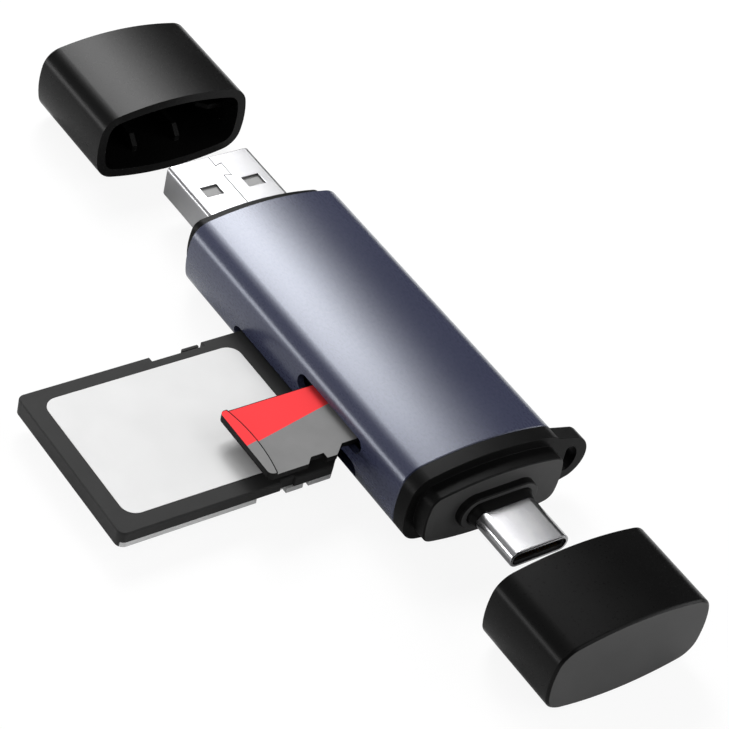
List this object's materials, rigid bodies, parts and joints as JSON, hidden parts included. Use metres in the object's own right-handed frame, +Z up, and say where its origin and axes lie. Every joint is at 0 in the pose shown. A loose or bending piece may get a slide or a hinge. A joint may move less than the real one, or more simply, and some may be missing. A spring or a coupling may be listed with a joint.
{
  "type": "usb memory card reader",
  "caption": "Pocket memory card reader: oval aluminium tube with a USB-A plug and a USB-C plug at its ends, pull-off caps, a lanyard lug, and SD and microSD slots in its side.",
  "frame": {"origin": "on the belly of the tube, under the tube's middle, at the surface the reader lies on", "axes": "+X along the body towards the USB-C plug, +Y the way the cards go in, +Z up"},
  "size_m": [0.1132, 0.0561, 0.0114],
  "materials": {
    "anodised_aluminium": "satin anodised, slate blue",
    "frame_abs": "moulded, satin black",
    "cap_abs": "moulded, satin black",
    "plug_steel": "nickel plated sheet",
    "socket_steel": "tin plated sheet",
    "tongue_plastic": "moulded, white",
    "socket_plastic": "moulded, black",
    "contact_gold": "gold flashed",
    "board_laminate": "green solder mask",
    "chip_epoxy": "moulded epoxy",
    "crystal_can": "nickel lid",
    "capacitor_ceramic": "fired ceramic chip",
    "card_black": "moulded, fine texture",
    "card_grey": "moulded, grey",
    "card_label": "blank label",
    "card_print": "moulded epoxy with a printed top"
  },
  "bodies": {
    "reader": {"outer_tube": "anodised_aluminium", "usb_a_end_frame": "frame_abs", "usb_c_end_frame": "frame_abs", "usb_c_collar": "frame_abs", "usb_a_shell": "plug_steel", "usb_a_tongue": "tongue_plastic", "usb_a_contacts": "contact_gold", "usb_c_shell": "plug_steel", "usb_c_insulator": "socket_plastic", "usb_c_contacts": "contact_gold", "usb_c_latch_springs": "socket_steel", "circuit_board": "board_laminate", "controller_chip": "chip_epoxy", "crystal": "crystal_can", "capacitors": "capacitor_ceramic", "sd_socket": "socket_plastic", "sd_socket_contacts": "contact_gold", "microsd_socket_base": "socket_plastic", "microsd_socket_cover": "socket_steel", "microsd_socket_contacts": "contact_gold"},
    "usb_a_cap_body": {"usb_a_cap": "cap_abs"},
    "usb_c_cap_body": {"usb_c_cap": "cap_abs"},
    "sd_card_body": {"sd_card_upper_shell": "card_black", "sd_card_lower_shell": "card_grey", "sd_card_label": "card_label", "sd_card_contacts": "contact_gold"},
    "sd_lock_body": {"sd_card_lock_tab": "card_black"},
    "microsd_card_body": {"microsd_card": "card_print", "microsd_card_contacts": "contact_gold"}
  },
  "joints": [
    {"name": "usb_a_cap_pull", "type": "slide", "parent": "reader", "child": "usb_a_cap_body", "axis": [1, 0, 0], "range_m": [0, 0.0216]},
    {"name": "usb_c_cap_pull", "type": "slide", "parent": "reader", "child": "usb_c_cap_body", "axis": [-1, 0, 0], "range_m": [0, 0.01545]},
    {"name": "sd_card_slide", "type": "slide", "parent": "reader", "child": "sd_card_body", "axis": [0, 1, 0], "range_m": [-0.004, 0.017]},
    {"name": "microsd_card_slide", "type": "slide", "parent": "reader", "child": "microsd_card_body", "axis": [0, 1, 0], "range_m": [-0.005, 0.00965]},
    {"name": "sd_lock_slide", "type": "slide", "parent": "sd_card_body", "child": "sd_lock_body", "axis": [0, 1, 0], "range_m": [-0.003, 0]}
  ]
}
